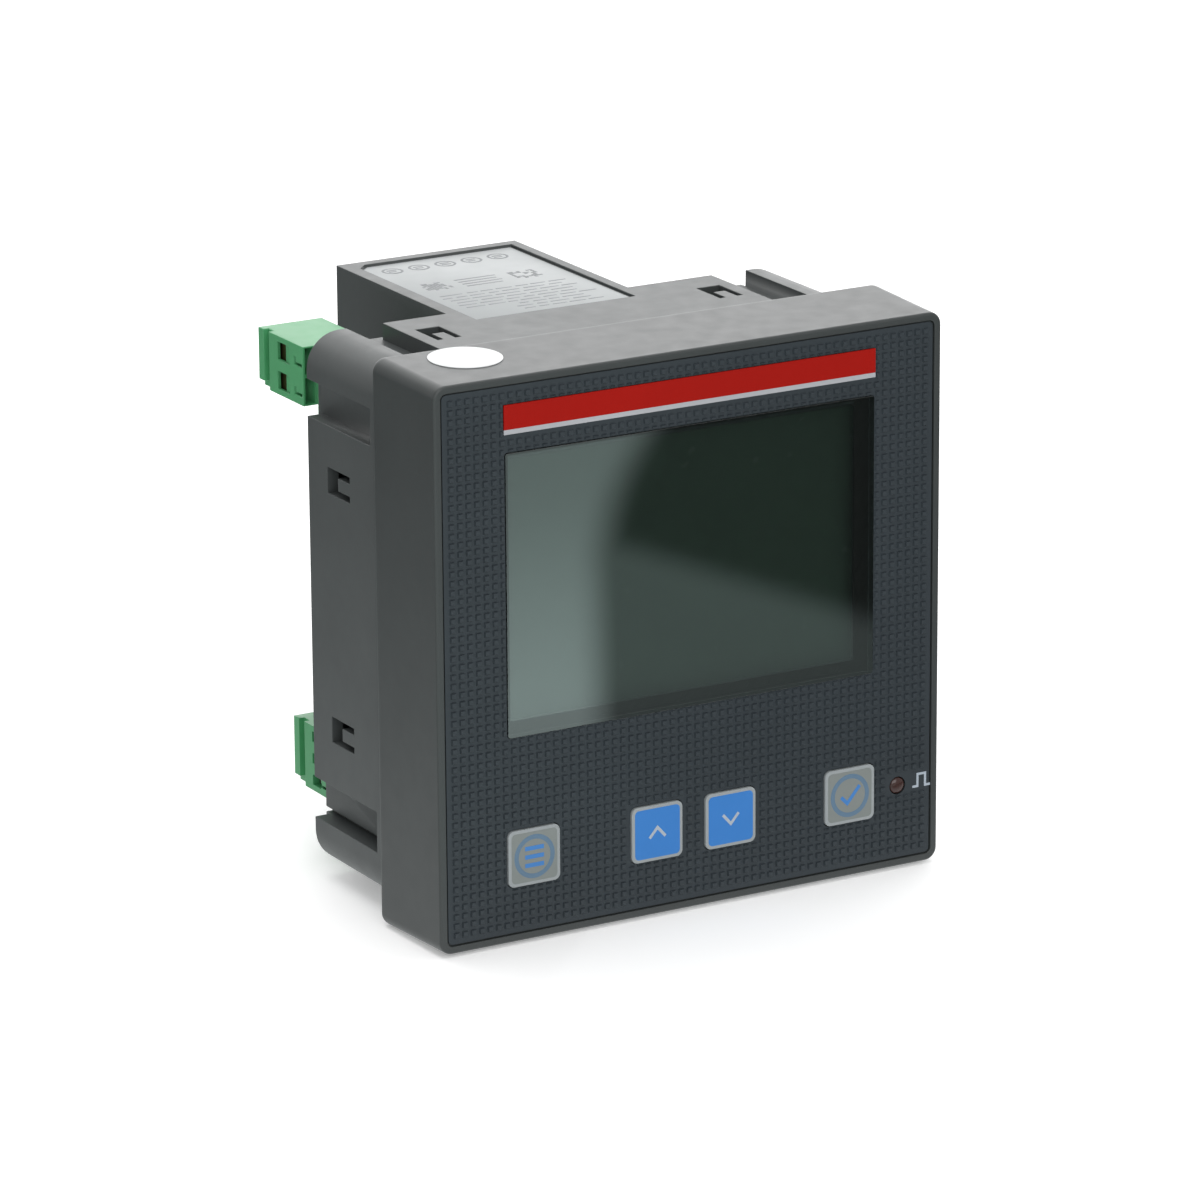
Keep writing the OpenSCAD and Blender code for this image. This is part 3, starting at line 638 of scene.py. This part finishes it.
def flat_piece(name, outlines, z_low, z_high, material, replaces=(), edge=0.02):
    """A thin plate that faces up; outlines are points in x and y."""
    bm = cut_plate(outlines, -z_high, -z_low, edge)
    for v in bm.verts:
        v.co = Vector((v.co.x, v.co.z, -v.co.y))
    bmesh.ops.recalc_face_normals(bm, faces=bm.faces)
    return new_piece(name, mesh_from(bm, name), [material], "root", replaces)


def make_label():
    low, high = box_mm("rating_label")
    cut = 1.8
    outline = [(low.x, low.y), (high.x, low.y), (high.x, high.y), (low.x + cut, high.y),
               (low.x, high.y - cut)]
    flat_piece("label_sheet", [outline], low.z, high.z, LABEL, ["rating_label"])
    rng = random.Random(7)
    marks = []

    def bar(x0, x1, y, thick):
        y0, y1 = y - thick / 2, y + thick / 2
        marks.append([(x0, y0), (x1, y0), (x1, y1), (x0, y1)])

    left, right = low.x + 2.0, high.x - 2.0
    for row in range(9):
        y = low.y + 3.4 + row * 1.75
        x = left + (8.5 if row < 3 else 0.0) + rng.uniform(0, 1.5)
        while x < right - 3:
            length = rng.uniform(1.6, 4.6)
            bar(x, min(x + length, right), y, 0.42)
            x += length + rng.uniform(0.5, 0.9)
    cell = 0.62
    ink = 0.55
    for corner_x, corner_y in ((left + 1.0, low.y + 21.6), (right - 7.5, low.y + 21.4)):
        for i in range(8):
            for j in range(8):
                if rng.random() < 0.62:
                    x, y = corner_x + i * cell, corner_y + j * cell
                    marks.append([(x, y), (x + ink, y), (x + ink, y + ink), (x, y + ink)])
    for row in range(4):
        bar(left + 8.0, right - 9.5 - rng.uniform(0, 2), low.y + 21.6 + row * 1.5, 0.5)
    for i in range(5):
        x, y = left + 2.2 + i * 5.1, high.y - 4.6
        marks.append(circle_outline(x, y, 1.9, 28))
        marks.append(circle_outline(x, y, 1.45, 28))
        bar(x - 0.9, x + 0.9, y + 0.45, 0.5)
        bar(x - 0.9, x + 0.5 + 0.2 * (i % 3), y - 0.45, 0.5)
    flat_piece("label_marks", marks, high.z - 0.01, high.z + 0.01, LABEL_INK, edge=0.002)


def make_sticker():
    low, high = box_mm("round_sticker")
    x, y = (low.x + high.x) / 2, (low.y + high.y) / 2
    radius = (high.x - low.x) / 2
    bm = cut_plate([circle_outline(0, 0, radius, 72)], -0.06, 0.06, 0.02)
    lean = math.atan2(high.z - low.z - 0.12, high.y - low.y)
    turn = Matrix.Translation(mm(x, y, (low.z + high.z) / 2)) @ Matrix.Rotation(lean, 4, "X") \
        @ Matrix.Rotation(math.radians(-90), 4, "X")
    bm.transform(turn)
    new_piece("sticker_dot", mesh_from(bm, "sticker_dot"), [STICKER], "root",
              ["round_sticker"])


# ---- Carried-over CAD nodes ----

FINISHES = {
    "housing_plastic": HOUSING, "front_film": FILM, "header_red": RED, "window_clear": WINDOW,
    "black_plastic": BLACK, "lcd_glass": LCD, "backlight_white": WHITE, "led_lens": LENS,
    "circuit_board": BOARD, "key_silver": KEY_GREY, "key_blue": KEY_BLUE, "label_stock": LABEL,
    "sticker_white": STICKER, "plug_green": GREEN, "screw_steel": STEEL, "clamp_brass": BRASS,
    "contact_tin": TIN, "transformer_yellow": YELLOW, "capacitor_sleeve": SLEEVE, "sensor_blue": POTTED,
}
BODY_OF = {node: body for body, members in frame["record"]["behaviour"]["bodies"].items()
           for node in members}


def make_cad_pieces():
    """Every node not yet replaced gets its finish; the outer ones get rounded edges too."""
    widths = {"main_housing": 0.1, "rear_panel": 0.08, "current_terminal": 0.15,
              "supply_plug": 0.15, "comms_plug": 0.05, "voltage_plug": 0.15,
              "supply_header": 0.12, "comms_header": 0.12, "voltage_header": 0.12}
    for entry in frame["record"]["subparts"]:
        node, slot = entry["node"], entry["material_slot"]
        if nodes[node].hide_render:
            continue
        if node in widths:
            from_cad(node, BODY_OF[node], FINISHES[slot], widths[node])
            continue
        nodes[node].data.materials.clear()
        # The cages get the darker brass, a painted shade of their recess.
        nodes[node].data.materials.append(SHADED_BRASS if "cage" in node else FINISHES[slot])


# ---- Stage, light and camera ----

SQUARE = ((-1, -1), (1, -1), (1, 1), (-1, 1))
FLOOR_REACH = 4000
CARD_REACH = 2500


def make_stage():
    bm = bmesh.new()
    drop = bezel_low.z - 0.05
    corners = [bm.verts.new(mm(x * FLOOR_REACH, y * FLOOR_REACH, drop)) for x, y in SQUARE]
    bm.faces.new(corners)
    mesh = mesh_from(bm, "floor")
    floor = bpy.data.objects.new("floor", mesh)
    scene.collection.objects.link(floor)
    paper = moulded("studio_floor", srgb(246, 246, 246), rough=0.8, grain=60, depth=0.2, mottle=0.004)
    paper.node_tree.nodes["Principled BSDF"].inputs["Emission Color"].default_value = (1, 1, 1, 1)
    paper.node_tree.nodes["Principled BSDF"].inputs["Emission Strength"].default_value = 0.2
    mesh.materials.append(paper)


def soft_light(name, place, target, size, power, colour=(1, 1, 1)):
    data = bpy.data.lights.new(name, "AREA")
    data.shape = "RECTANGLE"
    data.size, data.size_y = size
    data.energy = power
    data.color = colour
    lamp = bpy.data.objects.new(name, data)
    scene.collection.objects.link(lamp)
    lamp.location = place
    lamp.rotation_euler = (Vector(target) - Vector(place)).to_track_quat("-Z", "Y").to_euler()
    return lamp


# Where the camera seems to stand behind the window, in metres, when the window mirrors the card
MIRROR_EYE = (-0.5236, 0.865, 0.315)
TINT = (0.82, 1.0, 0.98)
EDGE_X = -0.0165
EDGE_SOFTNESS = 0.006
BEND_START = 0.014
BEND_RATE = 20.0


def math_node(tree, links, operation, first, second):
    """A math node; each input is a number or a socket."""
    node = tree.new("ShaderNodeMath")
    node.operation = operation
    for socket, value in zip(node.inputs, (first, second)):
        if isinstance(value, (int, float)):
            socket.default_value = value
        else:
            links.new(value, socket)
    return node.outputs["Value"]


def step_node(tree, links, value, low, high, to_low=0.0, to_high=1.0):
    """A soft step of a value between two limits."""
    node = tree.new("ShaderNodeMapRange")
    node.interpolation_type = "SMOOTHSTEP"
    limits = {"From Min": low, "From Max": high, "To Min": to_low, "To Max": to_high}
    for name, number in limits.items():
        node.inputs[name].default_value = number
    links.new(value, node.inputs["Value"])
    return node.outputs["Result"]


def window_pattern(tree, links, x, y):
    """Brightness of the card so that the window mirrors a bright room edge at its left and a
    fainter slanting one below. The card's points are first taken to window coordinates."""
    eye_x, eye_y, eye_z = MIRROR_EYE
    pane_y = window_low.y * MM
    floor_z = bezel_low.z * MM
    depth = math_node(tree, links, "SUBTRACT", eye_y, y)
    share = math_node(tree, links, "DIVIDE", eye_y - pane_y, depth)
    across = math_node(tree, links, "MULTIPLY", math_node(tree, links, "SUBTRACT", x, eye_x), share)
    across = math_node(tree, links, "ADD", across, eye_x)
    height = math_node(tree, links, "MULTIPLY", share, floor_z - eye_z)
    height = math_node(tree, links, "ADD", height, eye_z)
    rise = math_node(tree, links, "MAXIMUM", math_node(tree, links, "SUBTRACT", height, BEND_START), 0.0)
    square = math_node(tree, links, "MULTIPLY", rise, rise)
    bend = math_node(tree, links, "MULTIPLY", square, BEND_RATE)
    edge = math_node(tree, links, "SUBTRACT", math_node(tree, links, "ADD", bend, EDGE_X), across)
    lit = step_node(tree, links, edge, -EDGE_SOFTNESS, EDGE_SOFTNESS)
    bright = math_node(tree, links, "MULTIPLY", lit,
                       step_node(tree, links, height, -0.012, 0.034, 0.92, 0.5))
    slope = math_node(tree, links, "ADD", math_node(tree, links, "MULTIPLY", across, 0.42), height)
    faint = step_node(tree, links, slope, 0.0145, 0.0075, 0.03, 0.22)
    return math_node(tree, links, "MAXIMUM", bright, faint)


def make_flag():
    """A card on the floor that only reflections see: dark, lighter close to the meter, and with
    the soft light edges that the display window mirrors in front."""
    bm = bmesh.new()
    drop = bezel_low.z - 0.03
    corners = [bm.verts.new(mm(x * CARD_REACH, y * CARD_REACH, drop)) for x, y in SQUARE]
    bm.faces.new(corners)
    card = bpy.data.objects.new("dark_flag", mesh_from(bm, "dark_flag"))
    scene.collection.objects.link(card)
    material, tree, links = node_material("flag_card")
    tree.remove(tree["Principled BSDF"])
    glow = tree.new("ShaderNodeEmission")
    place = tree.new("ShaderNodeTexCoord").outputs["Object"]
    split = tree.new("ShaderNodeSeparateXYZ")
    links.new(place, split.inputs["Vector"])
    pattern = window_pattern(tree, links, split.outputs["X"], split.outputs["Y"])
    front = ramp(tree, links, pattern, [(0.0, (0, 0, 0)), (1.0, TINT)])
    forward = step_node(tree, links, split.outputs["Y"], -0.03, -0.06)
    reach = tree.new("ShaderNodeVectorMath")
    reach.operation = "LENGTH"
    links.new(place, reach.inputs[0])
    far = tree.new("ShaderNodeMapRange")
    far.inputs["From Min"].default_value = 0.07
    far.inputs["From Max"].default_value = 0.3
    links.new(reach.outputs["Value"], far.inputs["Value"])
    near = ramp(tree, links, far.outputs["Result"],
                [(0.0, (0.85, 0.88, 0.88)), (0.5, (0.4, 0.44, 0.44)), (1.0, (0.08, 0.09, 0.09))])
    both = tree.new("ShaderNodeMix")
    both.data_type = "RGBA"
    links.new(forward, both.inputs["Factor"])
    links.new(near.outputs["Color"], both.inputs[6])
    links.new(front.outputs["Color"], both.inputs[7])
    links.new(both.outputs[2], glow.inputs["Color"])
    links.new(glow.outputs["Emission"], tree["Material Output"].inputs["Surface"])
    card.data.materials.append(material)
    card.visible_camera = card.visible_diffuse = card.visible_shadow = False
    card.visible_transmission = card.visible_volume_scatter = False


def make_light():
    world = bpy.data.worlds.new("studio")
    scene.world = world
    world.use_nodes = True
    world.node_tree.nodes["Background"].inputs["Color"].default_value = (1, 1, 1, 1)
    world.node_tree.nodes["Background"].inputs["Strength"].default_value = 0.5
    soft_light("top_softbox", (0.0, 0.15, 0.9), (0, 0.02, 0), (0.9, 0.9), 6)
    rear = soft_light("rear_softbox", (0.75, 1.3, 0.5), (0, 0, 0), (2.6, 1.1), 19.5)
    front = soft_light("front_softbox", (-0.35, -1.35, 0.75), (0, 0, 0), (1.6, 1.0), 10)
    rear.visible_camera = front.visible_camera = False


def make_camera():
    azimuth, elevation, roll = (math.radians(a) for a in (-29.77, 16.77, -0.38))
    back = Vector((math.sin(azimuth) * math.cos(elevation), -math.cos(azimuth) * math.cos(elevation),
                   math.sin(elevation)))
    level = Vector((0, 0, 1)).cross(back).normalized()
    above = back.cross(level)
    right = level * math.cos(roll) + above * math.sin(roll)
    up = above * math.cos(roll) - level * math.sin(roll)
    data = bpy.data.cameras.new("camera")
    data.lens = 198.1
    data.sensor_width = 36
    data.clip_start, data.clip_end = 0.05, 50
    camera = bpy.data.objects.new("camera", data)
    scene.collection.objects.link(camera)
    turn = Matrix((right, up, back)).transposed().to_4x4()
    camera.matrix_world = Matrix.Translation((back * 1092 + right * -5.25 + up * 0.16) * MM) @ turn
    scene.camera = camera


make_bezel()
make_film()
make_strip()
make_display()
make_led()
make_pulse_mark()
for key_name in KEYS:
    make_key(key_name)
make_label()
make_sticker()
make_cad_pieces()
make_stage()
make_flag()
make_light()
make_camera()
